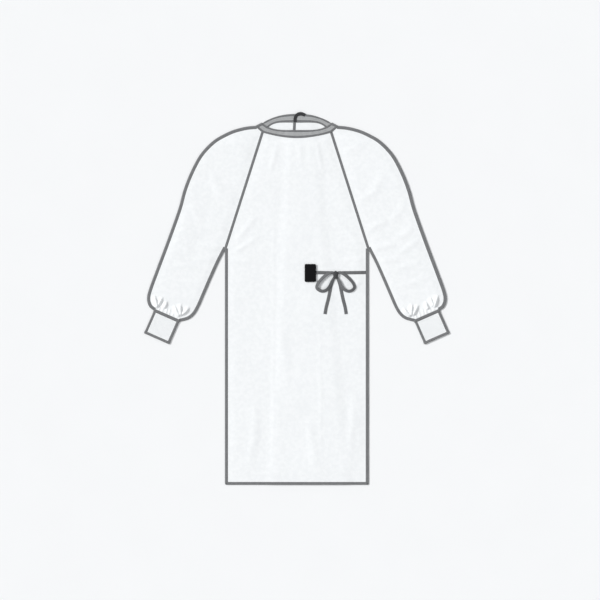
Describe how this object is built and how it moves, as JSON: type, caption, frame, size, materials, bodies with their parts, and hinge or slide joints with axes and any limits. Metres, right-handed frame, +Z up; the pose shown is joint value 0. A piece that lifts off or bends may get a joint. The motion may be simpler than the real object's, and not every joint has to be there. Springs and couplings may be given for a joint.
{
  "type": "surgical gown",
  "caption": "Surgical gown laid flat on its back: raglan sleeves gathered into knit cuffs, bound neck, lapped back panels and a belt tied in a bow at the front.",
  "frame": {"origin": "middle of the laid-out gown's box, on the surface it lies on", "axes": "+Y from hem to neck, +Z up out of the front, +X towards the wearer's left sleeve"},
  "size_m": [0.975, 1.1901, 0.0139],
  "materials": {
    "cloth": "matt bonded nonwoven, white",
    "knit": "ribbed knit, white",
    "binding": "folded nonwoven strip, pale grey, stitched",
    "tie": "woven tape, dark grey",
    "card": "matt black card"
  },
  "bodies": {
    "root": {"front_panel": "cloth", "back_panel_right": "cloth", "back_panel_left": "cloth", "sleeve_right": "cloth", "sleeve_left": "cloth", "cuff_right": "knit", "cuff_left": "knit", "neck_binding": "binding", "neck_tab": "tie", "belt_left": "tie", "tie_front": "tie", "bow_knot": "tie", "bow_loop_right": "tie", "bow_loop_left": "tie", "bow_tail_right": "tie", "bow_tail_left": "tie", "belt_card": "card"}
  },
  "joints": []
}
